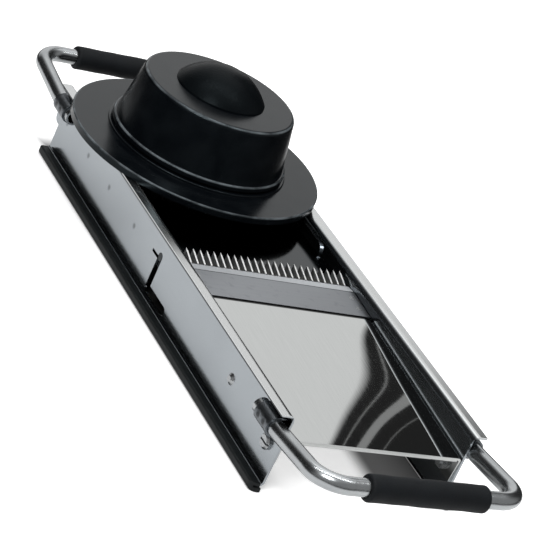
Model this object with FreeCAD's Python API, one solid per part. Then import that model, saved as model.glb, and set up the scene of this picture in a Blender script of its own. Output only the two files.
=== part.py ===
import FreeCAD, Part
import math
import os

# Mandoline slicer with a hat-shaped food pusher, in millimetres.
# +Z is up, +Y runs from the outfeed (near) end to the feed (far) end, and the origin lies on
# the table under the middle of the frame. The left side is -X.

# Side walls: folded sheet channels that open outwards, with a rail on top and a foot below
wall_length = 298.0
frame_width = 101.6
wall_top = 41.4
sheet = 1.2
rail_width = 6.6
rail_bend = 3.9
foot_flange = 5.0
foot_bend = 2.2
weld_places = (38.3, 75.2, 106.9, 140.3)
weld_height = 22.9
weld_dent_radius = 9.0
weld_dent_depth = 0.2

# Rubber foot strips
rubber_floor = 2.0
rubber_side = 1.5
rubber_lip = 1.4
rubber_round = 4.0
strip_past_near_end = 2.0
strip_short_of_far_end = 2.5

# Carrying handles: bent tubes with a sleeve grip, held under the rails by strap saddles
tube_diameter = 8.6
tube_wall = 1.0
tube_height = 32.2
tube_clearance = 0.05
bar_reach = 44.5
bar_height = 37.4
bar_bend = 14.0
rise_bend = 60.0
leg_tail = 4.0
grip_length = 65.0
grip_diameter = 13.0
grip_round = 1.6
saddle_length = 13.5
saddle_inset = 3.0
saddle_sheet = 0.9
saddle_clearance = 0.1

# Outfeed plate: a tilted deck with folded sides, a rolled lip and a stepped seat for the blade
deck_height = 34.2
deck_slope = 3.19
deck_far_end = -41.0
deck_near_inset = 0.2
deck_bend = 2.4
deck_side_depth = 14.0
lip_roll = 1.5
seat_end = -20.0

# Main blade
blade_thickness = 1.6
blade_groove = 1.6
blade_bevel_start = -18.3
blade_edge = -12.2
blade_edge_drop = 1.2
blade_end_clearance = 0.4
blade_screw_places = (-33.0, -24.0)
blade_screw_inset = 4.2
blade_screw_diameter = 2.0
blade_screw_head = 3.6
blade_screw_tail = 1.0

# Fasteners between the outfeed plate and the walls
rivet_place = -93.1
rivet_height = 21.9
rivet_diameter = 3.0
rivet_head = 6.0
rivet_head_rise = 1.3
wall_screw_place = -138.6
wall_screw_height = 19.85
wall_screw_diameter = 4.0
wall_screw_head = 8.0
wall_screw_head_rise = 2.2
wall_screw_slot = 1.0
wall_nut_width = 7.0
wall_nut_height = 2.4
fastener_clearance = 0.05

# Feed guides: liners welded inside the walls along the feed half
guide_sheet = 1.0
guide_start = 22.0
guide_past_far_end = 8.0
guide_bottom = 16.0
guide_top = 37.0
guide_corner = 4.0

# Feed plate, hinged on a rod at its far end
feed_top = 32.0
feed_near_edge = -1.0
feed_side_clearance = 0.3
feed_neck_clearance = 0.4
feed_neck_length = 14.0
feed_side_depth = 8.0
feed_corner = 1.0
hinge_inset = 4.0
hinge_rod_diameter = 4.0
hinge_clearance = 0.05
knuckle_width = 22.0
knuckle_end_inset = 1.3
rod_cap_diameter = 6.0
rod_cap_height = 0.9

# Thickness adjuster: two eccentric cams on a cross shaft, turned by a knob on the right wall
shaft_place = 34.0
shaft_diameter = 5.0
shaft_clearance = 0.05
shaft_end_gap = 0.3
cam_offset = 3.0
cam_diameter = 13.0
cam_width = 5.0
cam_spread = 30.0
cam_gap = 0.35
bush_diameter = 8.0
bush_flange = 12.0
bush_flange_height = 0.8
knob_diameter = 17.0
knob_height = 10.5
knob_flutes = 12
knob_flute_diameter = 3.0
knob_chamfer = 1.2
knob_screw_diameter = 2.5
knob_screw_head = 4.5
knob_screw_head_height = 1.6
knob_screw_depth = 8.0

# Julienne comb and the carrier whose pins ride in the wall slots
tooth_pitch = 3.95
tooth_thickness = 0.9
tooth_tip = 37.4
tooth_root = 34.7
tooth_far_edge = -2.0
tooth_grind = 2.2
comb_blade_gap = 0.6
comb_side_gap = 0.4
comb_base_height = 2.5
carrier_sheet = 1.0
carrier_bend = 1.3
carrier_bottom = 18.8
carrier_top = 29.4
carrier_far_end = 7.4
carrier_wall_gap = 0.3
comb_pin_diameter = 4.0
comb_pin_place = 4.4
comb_pin_height = 26.2
comb_drop = 18.0
slot_clearance = 0.3
park_leg = 21.0
lock_slit = 7.0
lock_slit_width = 1.6
lock_slit_height = 25.0
comb_screw_spread = 30.0
comb_screw_diameter = 2.5
comb_screw_head = 4.2
comb_screw_depth = 1.6

# Pusher: a brim that slides on the rails, with the cup that holds the food
pusher_place = 94.0
rail_gap = 0.3
brim_radius = 69.1
brim_height = 3.8
brim_sheet = 2.4
rim_sheet = 2.0
step_radius = 49.6
step_height = 1.0
cup_bore = 36.2
cup_sheet = 2.4
cup_rise = 24.5
skirt_gap = 0.4
skirt_sheet = 2.0
skirt_drop = 2.2
runner_inset = 0.4
runner_width = 3.1
edge_round = 0.7

# Plunger: a cap over the cup, with a domed button, a stem, a pin plate and the food pins
cap_gap = 0.5
cap_slide_clearance = 0.4
cap_sheet = 2.2
bead_radius = 48.2
bead_height = 3.6
cap_foot_radius = 46.6
crown_radius = 41.6
crown_height = 79.4
crown_round = 2.2
dome_radius = 24.3
dome_rim = 0.6
dome_rise = 12.6
stem_diameter = 14.0
pin_plate_clearance = 0.4
pin_plate_sheet = 2.4
pin_plate_height = 46.0
food_pin_diameter = 2.2
food_pin_tip_gap = 1.0
food_pin_point = 3.0
food_pin_ring_counts = (6, 12)
food_pin_ring_radii = (14.0, 28.0)
stem_screw_diameter = 4.0
stem_screw_head = 8.0
stem_screw_head_height = 1.8
stem_screw_depth = 12.0

# Places that follow from the sizes above
V = FreeCAD.Vector
DIRECTIONS = {"x": V(1, 0, 0), "y": V(0, 1, 0), "z": V(0, 0, 1)}
wall_end = wall_length / 2
web_out = frame_width / 2
web_in = web_out - sheet
rail_out = web_out + rail_width
foot_out = web_out + foot_flange
flange_top = rubber_floor + sheet
tube_radius = tube_diameter / 2
leg_place = web_out + tube_radius + tube_clearance
bar_place = wall_end + bar_reach
deck_lip = -wall_end + deck_near_inset
guide_in = web_in - guide_sheet
guide_end = wall_end + guide_past_far_end
hinge_place = guide_end - hinge_inset
knuckle_bore = hinge_rod_diameter / 2 + hinge_clearance
knuckle_radius = knuckle_bore + sheet
hinge_height = feed_top - knuckle_radius
feed_half = guide_in - feed_side_clearance
knuckle_pitch = feed_half - knuckle_end_inset - knuckle_width / 2
carrier_half = web_in - carrier_wall_gap
feed_neck_half = carrier_half - carrier_sheet - feed_neck_clearance
shaft_radius = shaft_diameter / 2
shaft_height = feed_top - sheet - cam_gap - cam_diameter / 2
slot_width = comb_pin_diameter + 2 * slot_clearance
comb_near_face = blade_edge + comb_blade_gap
comb_base_bottom = carrier_bottom + carrier_sheet
comb_base_top = comb_base_bottom + comb_base_height
comb_room = carrier_half - carrier_sheet - comb_side_gap - tooth_thickness / 2
teeth_each_side = int(comb_room / tooth_pitch)
comb_half = teeth_each_side * tooth_pitch + tooth_thickness / 2
rim_bottom = wall_top + rail_gap
brim_top = rim_bottom + brim_height
brim_under = brim_top - brim_sheet
skirt_bottom = wall_top - skirt_drop
cup_out = cup_bore + cup_sheet
cap_bottom = brim_top + step_height + cap_gap
cap_inside = crown_height - cap_sheet
pin_plate_top = pin_plate_height + pin_plate_sheet
food_pin_tip = tooth_tip + food_pin_tip_gap


def rounded_edges(corners, closed=True):
    """Lines and arcs through (point, radius) corners, each corner rounded to its radius."""
    bends = []
    for i, (point, radius) in enumerate(corners):
        if radius == 0:
            bends.append((point, point, point))
            continue
        back = (corners[i - 1][0] - point).normalize()
        ahead = (corners[(i + 1) % len(corners)][0] - point).normalize()
        half_angle = back.getAngle(ahead) / 2
        reach = radius / math.tan(half_angle)
        middle = (back + ahead).normalize() * (radius / math.sin(half_angle) - radius)
        bends.append((point + back * reach, point + middle, point + ahead * reach))
    edges = []
    for i, (start, middle, stop) in enumerate(bends):
        if start.distanceToPoint(stop) > 0:
            edges.append(Part.Arc(start, middle, stop).toShape())
        following = bends[(i + 1) % len(bends)][0]
        if (closed or i + 1 < len(bends)) and stop.distanceToPoint(following) > 1e-6:
            edges.append(Part.LineSegment(stop, following).toShape())
    return edges


def prism(axis, corners, start, length):
    """A solid run along an axis from an outline of (first, second, radius) corners."""
    placed = []
    for first, second, radius in corners:
        place = {"x": V(start, first, second), "y": V(first, start, second), "z": V(first, second, start)}
        placed.append((place[axis], radius))
    return Part.Face(Part.Wire(rounded_edges(placed))).extrude(DIRECTIONS[axis] * length)


def block(low, high):
    """A plain rectangular solid between two opposite corners."""
    size = high - low
    return Part.makeBox(size.x, size.y, size.z, low)


def rod(axis, start, radius, length):
    """A round solid from a start point along an axis."""
    return Part.makeCylinder(radius, length, start, DIRECTIONS[axis])


def revolved(placed, centre, axis):
    """A solid turned about an axis from (point, radius) corners."""
    return Part.Face(Part.Wire(rounded_edges(placed))).revolve(centre, axis, 360)


def turned(corners, centre=V(0, pusher_place, 0)):
    """A solid turned about an upright axis from an outline of (radius, height, rounding) corners."""
    placed = [(V(centre.x + across, centre.y, up), rounding) for across, up, rounding in corners]
    return revolved(placed, centre, DIRECTIONS["z"])


def turned_along_x(corners, y, z):
    """A solid turned about a cross axis from an outline of (place along X, radius, rounding) corners."""
    placed = [(V(along, y, z + across), rounding) for along, across, rounding in corners]
    return revolved(placed, V(0, y, z), DIRECTIONS["x"])


def other_side(shape):
    """The mirror image across the frame's middle plane."""
    return shape.mirror(V(0, 0, 0), DIRECTIONS["x"])


def tilted(shape):
    """A piece of the deck, turned from level to the deck's slope about its far end."""
    return shape.rotated(V(0, deck_far_end, deck_height), DIRECTIONS["x"], deck_slope)


def round_slot(y_low, y_high, z_low, z_high):
    """A cutter through the right web, with ends as round as the slot is wide."""
    radius = min(y_high - y_low, z_high - z_low) / 2
    corners = [(y_low, z_low, radius), (y_high, z_low, radius), (y_high, z_high, radius), (y_low, z_high, radius)]
    return prism("x", corners, web_in - sheet, 3 * sheet)


def web_hole(y, z, radius):
    """A cutter for a round hole through the right web."""
    return rod("x", V(web_in - sheet, y, z), radius, 3 * sheet)


def side_wall():
    """The right channel wall: rail, web and foot flange from one folded sheet."""
    section = [
        (foot_out, rubber_floor, 0),
        (foot_out, flange_top, 0),
        (web_out, flange_top, foot_bend - sheet),
        (web_out, wall_top - sheet, rail_bend - sheet),
        (rail_out, wall_top - sheet, 0),
        (rail_out, wall_top, 0),
        (web_in, wall_top, rail_bend),
        (web_in, rubber_floor, foot_bend),
    ]
    wall = prism("y", section, -wall_end, wall_length)
    half = slot_width / 2
    low = comb_pin_height - comb_drop
    run = round_slot(comb_pin_place - half, comb_pin_place + half, low - half, comb_pin_height + half)
    leg = round_slot(comb_pin_place - park_leg - half, comb_pin_place + half, low - half, low + half)
    slit_half = lock_slit_width / 2
    slit_end = comb_pin_place + half + lock_slit
    slit = round_slot(comb_pin_place, slit_end, lock_slit_height - slit_half, lock_slit_height + slit_half)
    rivet_hole = web_hole(rivet_place, rivet_height, rivet_diameter / 2 + fastener_clearance)
    screw_hole = web_hole(wall_screw_place, wall_screw_height, wall_screw_diameter / 2 + fastener_clearance)
    dents = []
    for place in weld_places:
        centre = V(web_out + weld_dent_radius - weld_dent_depth, place, weld_height)
        dents.append(Part.makeSphere(weld_dent_radius, centre))
    return wall.cut([run.fuse([leg, slit]), rivet_hole, screw_hole] + dents)


def foot_strip():
    """The right rubber strip: a channel pushed over the foot flange."""
    inner = web_in + foot_bend
    outer = foot_out + rubber_side
    top = flange_top + rubber_lip
    lip = web_out + foot_bend
    section = [
        (inner, 0, 0),
        (outer, 0, rubber_side * 0.8),
        (outer, top, rubber_side * 0.8),
        (lip, top, 0),
        (lip, flange_top, 0),
        (foot_out, flange_top, 0),
        (foot_out, rubber_floor, 0),
        (inner, rubber_floor, 0),
    ]
    near = -wall_end - strip_past_near_end
    far = wall_end - strip_short_of_far_end
    strip = prism("y", section, near, far - near)
    plan = [
        (inner, near, 0),
        (outer, near, rubber_round),
        (outer, far, 0),
        (inner, far, 0),
    ]
    return strip.common(prism("z", plan, 0, top))


def handle_tube(end):
    """A bent handle tube at the near (-1) or far (1) end: two legs under the rails and a raised bar."""
    tail = wall_end - saddle_inset - saddle_length - leg_tail
    corners = []
    for side in (-1, 1):
        leg = [
            (V(side * leg_place, end * tail, tube_height), 0),
            (V(side * leg_place, end * wall_end, tube_height), rise_bend),
            (V(side * leg_place, end * bar_place, bar_height), bar_bend),
        ]
        corners += leg if side < 0 else leg[::-1]
    path = Part.Wire(rounded_edges(corners, closed=False))
    start = corners[0][0]
    skins = []
    for radius in (tube_radius, tube_radius - tube_wall):
        ring = Part.Wire(Part.Circle(start, DIRECTIONS["y"] * end, radius).toShape())
        skins.append(path.makePipeShell([ring], True, True))
    return skins[0].cut(skins[1])


def handle_grip(end):
    """The sleeve grip on a handle's bar."""
    half = grip_length / 2
    bore = tube_radius + fastener_clearance
    outline = [
        (-half, bore, 0),
        (-half, grip_diameter / 2, grip_round),
        (half, grip_diameter / 2, grip_round),
        (half, bore, 0),
    ]
    return turned_along_x(outline, end * bar_place, bar_height)


def handle_saddle(end):
    """The strap that holds a right leg against its wall."""
    inner = tube_radius + saddle_clearance
    outer = inner + saddle_sheet
    section = [
        (web_out, tube_height + outer, 0),
        (leg_place + outer, tube_height + outer, outer),
        (leg_place + outer, tube_height - outer, outer),
        (web_out, tube_height - outer, 0),
        (web_out, tube_height - inner, 0),
        (leg_place + inner, tube_height - inner, inner),
        (leg_place + inner, tube_height + inner, inner),
        (web_out, tube_height + inner, 0),
    ]
    near = min(end * (wall_end - saddle_inset), end * (wall_end - saddle_inset - saddle_length))
    return prism("y", section, near, saddle_length)


def outfeed_plate():
    """The deck behind the blade, with folded sides, a rolled lip and the blade's stepped seat."""
    low = deck_height - deck_side_depth
    under = deck_height - sheet
    side_in = web_in - sheet
    section = [
        (-web_in, deck_height, deck_bend),
        (web_in, deck_height, deck_bend),
        (web_in, low, 0),
        (side_in, low, 0),
        (side_in, under, deck_bend - sheet),
        (-side_in, under, deck_bend - sheet),
        (-side_in, low, 0),
        (-web_in, low, 0),
    ]
    deck = prism("y", section, deck_lip, deck_far_end - deck_lip)
    flat_half = web_in - deck_bend
    seat_top = deck_height - blade_thickness
    step_section = [
        (deck_far_end - sheet, deck_height, 0),
        (deck_far_end, deck_height, 0),
        (deck_far_end, seat_top, 0),
        (seat_end, seat_top, 0),
        (seat_end, seat_top - sheet, 0),
        (deck_far_end - sheet, seat_top - sheet, 0),
    ]
    seat = prism("x", step_section, -flat_half, 2 * flat_half)
    roll = rod("x", V(-flat_half, deck_lip + lip_roll, deck_height - lip_roll), lip_roll, 2 * flat_half)
    plate = tilted(deck.fuse([seat, roll]).cut(blade_screw_cutters()))
    holes = []
    for y, z, diameter in (
        (rivet_place, rivet_height, rivet_diameter),
        (wall_screw_place, wall_screw_height, wall_screw_diameter),
    ):
        holes.append(rod("x", V(-frame_width, y, z), diameter / 2 + fastener_clearance, 2 * frame_width))
    return plate.cut(holes)


def blade_screw(x, y, clearance):
    """A countersunk screw through the blade and its seat, larger all round by a clearance."""
    head = blade_screw_head / 2 + clearance
    shank = blade_screw_diameter / 2 + clearance
    bottom = deck_height - blade_thickness - sheet - blade_screw_tail
    outline = [
        (0, deck_height, 0),
        (head, deck_height, 0),
        (shank, deck_height - (head - shank), 0),
        (shank, bottom, 0),
        (0, bottom, 0),
    ]
    return turned(outline, V(x, y, 0))


def blade_screw_set(clearance):
    """The screws at both ends of the blade, in the level deck."""
    inset = web_in - blade_screw_inset
    return [blade_screw(x, y, clearance) for x in (-inset, inset) for y in blade_screw_places]


def blade_screw_cutters():
    """The screws' holes."""
    return blade_screw_set(fastener_clearance)


def main_blade():
    """The straight blade: a flat strip ground to an edge that faces the feed plate."""
    near = deck_far_end + blade_groove
    bottom = deck_height - blade_thickness
    half = web_in - blade_end_clearance
    profile = [
        (near, bottom, 0),
        (near, deck_height, 0),
        (blade_bevel_start, deck_height, 0),
        (blade_edge, deck_height - blade_edge_drop, 0),
        (blade_edge - blade_edge_drop, bottom, 0),
    ]
    strip = prism("x", profile, -half, 2 * half)
    return tilted(strip.cut(blade_screw_cutters()))


def plate_rivet():
    """A right rivet: a domed head outside the wall and a closed head inside the plate's side."""
    inside = web_in - sheet
    radius = rivet_diameter / 2
    head = rivet_head / 2
    outline = [
        (inside - rivet_head_rise, 0, 0),
        (inside - rivet_head_rise, radius, 0),
        (inside, head, 0),
        (inside, radius, 0),
        (web_out, radius, 0),
        (web_out, head, 0),
        (web_out + rivet_head_rise, radius, 0),
        (web_out + rivet_head_rise, 0, 0),
    ]
    return turned_along_x(outline, rivet_place, rivet_height)


def wall_screw():
    """A right screw: a slotted round head outside the wall and a shank through the nut."""
    inside = web_in - sheet - wall_nut_height
    radius = wall_screw_diameter / 2
    head = wall_screw_head / 2
    tip = inside - radius / 2
    outline = [
        (tip, 0, 0),
        (tip, radius, 0),
        (web_out, radius, 0),
        (web_out, head, 0),
        (web_out + wall_screw_head_rise / 2, head, 0),
        (web_out + wall_screw_head_rise, head - wall_screw_head_rise / 2, 0),
        (web_out + wall_screw_head_rise, 0, 0),
    ]
    screw = turned_along_x(outline, wall_screw_place, wall_screw_height)
    slot = block(
        V(web_out + wall_screw_head_rise / 2, wall_screw_place - wall_screw_head, wall_screw_height - wall_screw_slot / 2),
        V(web_out + wall_screw_head_rise, wall_screw_place + wall_screw_head, wall_screw_height + wall_screw_slot / 2),
    )
    return screw.cut(slot)


def wall_nut():
    """The right screw's hexagon nut inside the plate's side."""
    corner = wall_nut_width / 2 / math.cos(math.pi / 6)
    outline = []
    for i in range(6):
        angle = i * math.pi / 3
        y = wall_screw_place + corner * math.cos(angle)
        outline.append((y, wall_screw_height + corner * math.sin(angle), 0))
    start = web_in - sheet - wall_nut_height
    nut = prism("x", outline, start, wall_nut_height)
    bore = wall_screw_diameter / 2 + fastener_clearance
    return nut.cut(rod("x", V(start, wall_screw_place, wall_screw_height), bore, wall_nut_height))


def feed_guide():
    """The right liner: a flat strip with bearings for the cam shaft and the hinge rod."""
    outline = [
        (guide_start, guide_bottom, guide_corner),
        (guide_end, guide_bottom, guide_corner),
        (guide_end, guide_top, guide_corner),
        (guide_start, guide_top, guide_corner),
    ]
    guide = prism("x", outline, guide_in, guide_sheet)
    shaft_hole = web_hole(shaft_place, shaft_height, shaft_radius + shaft_clearance)
    rod_hole = web_hole(hinge_place, hinge_height, knuckle_bore)
    return guide.cut([shaft_hole, rod_hole])


def feed_plate():
    """The plate the food slides on: a folded sheet with a neck between the comb's cheeks and a hinge."""
    under = feed_top - sheet
    neck_end = feed_near_edge + feed_neck_length
    plan = [
        (-feed_neck_half, feed_near_edge, feed_corner),
        (feed_neck_half, feed_near_edge, feed_corner),
        (feed_neck_half, neck_end, 0),
        (feed_half, neck_end, feed_corner),
        (feed_half, hinge_place, 0),
        (-feed_half, hinge_place, 0),
        (-feed_half, neck_end, feed_corner),
        (-feed_neck_half, neck_end, 0),
    ]
    plate = prism("z", plan, under, sheet)
    low = feed_top - feed_side_depth
    side_start = shaft_place + cam_diameter
    side_end = hinge_place - knuckle_radius * 2
    folds = []
    for side in (-1, 1):
        fold = [
            (side * feed_half, under, 0),
            (side * feed_half, low, 0),
            (side * (feed_half - sheet), low, 0),
            (side * (feed_half - sheet), under, 0),
        ]
        folds.append(prism("y", fold, side_start, side_end - side_start))
    knuckles = []
    for step in (-1, 0, 1):
        start = V(step * knuckle_pitch - knuckle_width / 2, hinge_place, hinge_height)
        curl = rod("x", start, knuckle_radius, knuckle_width)
        knuckles.append(curl.cut(rod("x", start, knuckle_bore, knuckle_width)))
    return plate.fuse(folds + knuckles)


def hinge_rod():
    """The rod through the liners' far ends that the feed plate turns on."""
    half = web_in + rod_cap_height / 2
    return rod("x", V(-half, hinge_place, hinge_height), hinge_rod_diameter / 2, 2 * half)


def rod_cap():
    """The right push-on cap that keeps the hinge rod in its liners."""
    bore = hinge_rod_diameter / 2 + fastener_clearance / 2
    outline = [
        (web_in, bore, 0),
        (web_in, rod_cap_diameter / 2, 0),
        (web_in + rod_cap_height, rod_cap_diameter / 2, 0),
        (web_in + rod_cap_height, 0, 0),
        (web_in + rod_cap_height / 2, 0, 0),
        (web_in + rod_cap_height / 2, bore, 0),
    ]
    return turned_along_x(outline, hinge_place, hinge_height)


def knob_start():
    """The knob's inner face, just clear of the bush."""
    return web_out + bush_flange_height + rail_gap


def cam_shaft():
    """The cross shaft, from a bearing at the left web to the knob outside the right web."""
    start = -web_in + shaft_end_gap
    end = knob_start() + knob_height / 2
    shaft = rod("x", V(start, shaft_place, shaft_height), shaft_radius, end - start)
    screw_start = V(end - knob_screw_depth + knob_height / 2, shaft_place, shaft_height)
    return shaft.cut(rod("x", screw_start, knob_screw_diameter / 2 + fastener_clearance, knob_screw_depth))


def lift_cam(side):
    """An eccentric disc on the shaft, whose top carries the feed plate."""
    start = V(side * cam_spread - cam_width / 2, shaft_place, shaft_height)
    disc = rod("x", start + V(0, cam_offset, 0), cam_diameter / 2, cam_width)
    return disc.cut(rod("x", start, shaft_radius + fastener_clearance / 2, cam_width))


def shaft_bush():
    """The flanged bush that carries the shaft in the right web."""
    bore = shaft_radius + shaft_clearance
    outline = [
        (web_in, bore, 0),
        (web_in, bush_diameter / 2, 0),
        (web_out, bush_diameter / 2, 0),
        (web_out, bush_flange / 2, 0),
        (web_out + bush_flange_height, bush_flange / 2, 0),
        (web_out + bush_flange_height, bore, 0),
    ]
    return turned_along_x(outline, shaft_place, shaft_height)


def thickness_knob():
    """The fluted knob, with a socket for the shaft and a sunk place for its screw."""
    start = knob_start()
    end = start + knob_height
    socket_end = start + knob_height / 2
    socket = shaft_radius + fastener_clearance / 2
    screw = knob_screw_diameter / 2 + fastener_clearance
    head = knob_screw_head / 2 + fastener_clearance
    outline = [
        (start, socket, 0),
        (start, knob_diameter / 2, 0),
        (end - knob_chamfer, knob_diameter / 2, 0),
        (end, knob_diameter / 2 - knob_chamfer, 0),
        (end, head, 0),
        (end - knob_screw_head_height, head, 0),
        (end - knob_screw_head_height, screw, 0),
        (socket_end, screw, 0),
        (socket_end, socket, 0),
    ]
    knob = turned_along_x(outline, shaft_place, shaft_height)
    flutes = []
    for i in range(knob_flutes):
        angle = 2 * math.pi * i / knob_flutes
        reach = (knob_diameter + knob_flute_diameter) / 2 - knob_flute_diameter / 3
        place = V(start, shaft_place + reach * math.cos(angle), shaft_height + reach * math.sin(angle))
        flutes.append(rod("x", place, knob_flute_diameter / 2, knob_height))
    return knob.cut(flutes)


def knob_screw():
    """The screw that holds the knob on the shaft."""
    end = knob_start() + knob_height
    head_start = end - knob_screw_head_height
    tip = knob_start() + knob_height - knob_screw_depth
    outline = [
        (tip, 0, 0),
        (tip, knob_screw_diameter / 2, 0),
        (head_start, knob_screw_diameter / 2, 0),
        (head_start, knob_screw_head / 2, 0),
        (end, knob_screw_head / 2, 0),
        (end, 0, 0),
    ]
    return turned_along_x(outline, shaft_place, shaft_height)


def comb_screw(side, clearance):
    """A flush screw from below through the carrier into the comb's base, larger by a clearance."""
    head = comb_screw_head / 2 + clearance
    shank = comb_screw_diameter / 2 + clearance
    top = comb_base_bottom + comb_screw_depth + clearance
    outline = [
        (0, carrier_bottom, 0),
        (head, carrier_bottom, 0),
        (shank, carrier_bottom + head - shank, 0),
        (shank, top, 0),
        (0, top, 0),
    ]
    return turned(outline, V(side * comb_screw_spread, (comb_near_face + tooth_far_edge) / 2, 0))


def comb_screw_cutters():
    """The comb screws' holes."""
    return [comb_screw(side, fastener_clearance) for side in (-1, 1)]


def julienne_comb():
    """A row of upright teeth on a bar, each ground to an edge and sloping down to the main blade."""
    bar = block(V(-comb_half, comb_near_face, comb_base_bottom), V(comb_half, tooth_far_edge, comb_base_top))
    half = tooth_thickness / 2
    teeth = []
    for i in range(-teeth_each_side, teeth_each_side + 1):
        x = i * tooth_pitch
        plan = [
            (x - half, comb_near_face, 0),
            (x + half, comb_near_face, 0),
            (x + half, tooth_far_edge - tooth_grind, 0),
            (x, tooth_far_edge, 0),
            (x - half, tooth_far_edge - tooth_grind, 0),
        ]
        teeth.append(prism("z", plan, comb_base_top, tooth_tip - comb_base_top))
    slope = [
        (comb_near_face, tooth_root, 0),
        (tooth_far_edge, tooth_tip, 0),
        (comb_near_face, tooth_tip, 0),
    ]
    over = prism("x", slope, -comb_half, 2 * comb_half)
    return bar.fuse([tooth.cut(over) for tooth in teeth]).removeSplitter().cut(comb_screw_cutters())


def comb_carrier():
    """The folded cradle under the comb, with a cheek beside each wall."""
    inner = carrier_half - carrier_sheet
    section = [
        (-carrier_half, carrier_top, 0),
        (-carrier_half, carrier_bottom, carrier_bend),
        (carrier_half, carrier_bottom, carrier_bend),
        (carrier_half, carrier_top, 0),
        (inner, carrier_top, 0),
        (inner, comb_base_bottom, carrier_bend - carrier_sheet),
        (-inner, comb_base_bottom, carrier_bend - carrier_sheet),
        (-inner, carrier_top, 0),
    ]
    cradle = prism("y", section, comb_near_face, carrier_far_end - comb_near_face)
    pin_hole = rod(
        "x",
        V(-frame_width, comb_pin_place, comb_pin_height),
        comb_pin_diameter / 2 + fastener_clearance / 2,
        2 * frame_width,
    )
    return cradle.cut([pin_hole] + comb_screw_cutters())


def comb_pin():
    """The right pin, pressed in the carrier's cheek, that rides in the wall's slot."""
    start = carrier_half - carrier_sheet
    return rod("x", V(start, comb_pin_place, comb_pin_height), comb_pin_diameter / 2, web_out - start)


def pusher_base():
    """The brim with its rim, runners, guide skirt and upright food cup, moulded in one."""
    brim = [
        (cup_bore, brim_under, 0),
        (brim_radius - rim_sheet, brim_under, 0),
        (brim_radius - rim_sheet, rim_bottom, 0),
        (brim_radius, rim_bottom, 0),
        (brim_radius, brim_top, edge_round),
        (step_radius, brim_top, 0),
        (step_radius, brim_top + step_height, step_height * 0.6),
        (cup_bore, brim_top + step_height, 0),
    ]
    cup = [
        (cup_bore, skirt_bottom, 0),
        (cup_out, skirt_bottom, 0),
        (cup_out, brim_top + cup_rise, 0),
        (cup_bore, brim_top + cup_rise, 0),
    ]
    skirt_radius = web_in - skirt_gap
    skirt = [
        (skirt_radius - skirt_sheet, skirt_bottom, 0),
        (skirt_radius, skirt_bottom, 0),
        (skirt_radius, brim_top, 0),
        (skirt_radius - skirt_sheet, brim_top, 0),
    ]
    inside_rim = Part.makeCylinder(brim_radius - rim_sheet / 2, wall_top, V(0, pusher_place, rim_bottom))
    runner_out = rail_out - runner_inset
    runners = []
    for side in (-1, 1):
        x = min(side * runner_out, side * (runner_out - runner_width))
        low = V(x, pusher_place - brim_radius, rim_bottom)
        strip = block(low, low + V(runner_width, 2 * brim_radius, brim_under + brim_sheet / 2 - rim_bottom))
        runners.append(strip.common(inside_rim))
    return turned(brim).fuse([turned(cup), turned(skirt)] + runners).removeSplitter()


def plunger_cap():
    """The hollow tapered crown with a bead at its foot, which slides up and down the cup."""
    slide = cup_out + cap_slide_clearance
    floor = cap_bottom + cap_sheet
    outline = [
        (slide, cap_bottom, 0),
        (bead_radius, cap_bottom, bead_height * 0.3),
        (bead_radius, cap_bottom + bead_height, bead_height * 0.3),
        (cap_foot_radius, cap_bottom + bead_height, 0),
        (crown_radius, crown_height, crown_round),
        (0, crown_height, 0),
        (0, cap_inside, 0),
        (crown_radius - cap_sheet, cap_inside, 0),
        (cap_foot_radius - cap_sheet, floor, 0),
        (slide, floor, 0),
    ]
    return turned(outline)


def plunger_dome():
    """The lens-shaped button on the crown."""
    low = V(0, pusher_place, crown_height)
    edge = low + V(dome_radius, 0, 0)
    rim = edge + V(0, 0, dome_rim)
    top = low + V(0, 0, dome_rim + dome_rise)
    ball = (dome_radius ** 2 + dome_rise ** 2) / (2 * dome_rise)
    angle = math.asin(dome_radius / ball) / 2
    middle = top + V(ball * math.sin(angle), 0, ball * math.cos(angle) - ball)
    edges = [
        Part.LineSegment(low, edge).toShape(),
        Part.LineSegment(edge, rim).toShape(),
        Part.Arc(rim, middle, top).toShape(),
        Part.LineSegment(top, low).toShape(),
    ]
    return Part.Face(Part.Wire(edges)).revolve(low, DIRECTIONS["z"], 360)


def plunger_stem():
    """The post between the crown and the pin plate."""
    bore = stem_screw_diameter / 2 + fastener_clearance
    top = pin_plate_height + stem_screw_depth + fastener_clearance
    outline = [
        (bore, pin_plate_top, 0),
        (stem_diameter / 2, pin_plate_top, 0),
        (stem_diameter / 2, cap_inside, 0),
        (0, cap_inside, 0),
        (0, top, 0),
        (bore, top, 0),
    ]
    return turned(outline)


def food_pin_places():
    """The pins' centres, in rings round the plunger's axis."""
    places = []
    for count, radius in zip(food_pin_ring_counts, food_pin_ring_radii):
        for i in range(count):
            angle = 2 * math.pi * (i + 0.5) / count
            places.append(V(radius * math.cos(angle), pusher_place + radius * math.sin(angle), 0))
    return places


def pin_plate():
    """The round plate inside the cup that presses on the food and holds the pins."""
    bore = stem_screw_diameter / 2 + fastener_clearance
    outline = [
        (bore, pin_plate_height, 0),
        (cup_bore - pin_plate_clearance, pin_plate_height, 0),
        (cup_bore - pin_plate_clearance, pin_plate_top, 0),
        (bore, pin_plate_top, 0),
    ]
    radius = food_pin_diameter / 2 + fastener_clearance / 2
    holes = []
    for place in food_pin_places():
        holes.append(rod("z", place + V(0, 0, pin_plate_height), radius, pin_plate_sheet))
    return turned(outline).cut(holes)


def food_pin(place):
    """A pointed pin, fixed in the pin plate with its point down."""
    radius = food_pin_diameter / 2
    outline = [
        (0, food_pin_tip, 0),
        (radius, food_pin_tip + food_pin_point, 0),
        (radius, pin_plate_top, 0),
        (0, pin_plate_top, 0),
    ]
    return turned(outline, place)


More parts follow.
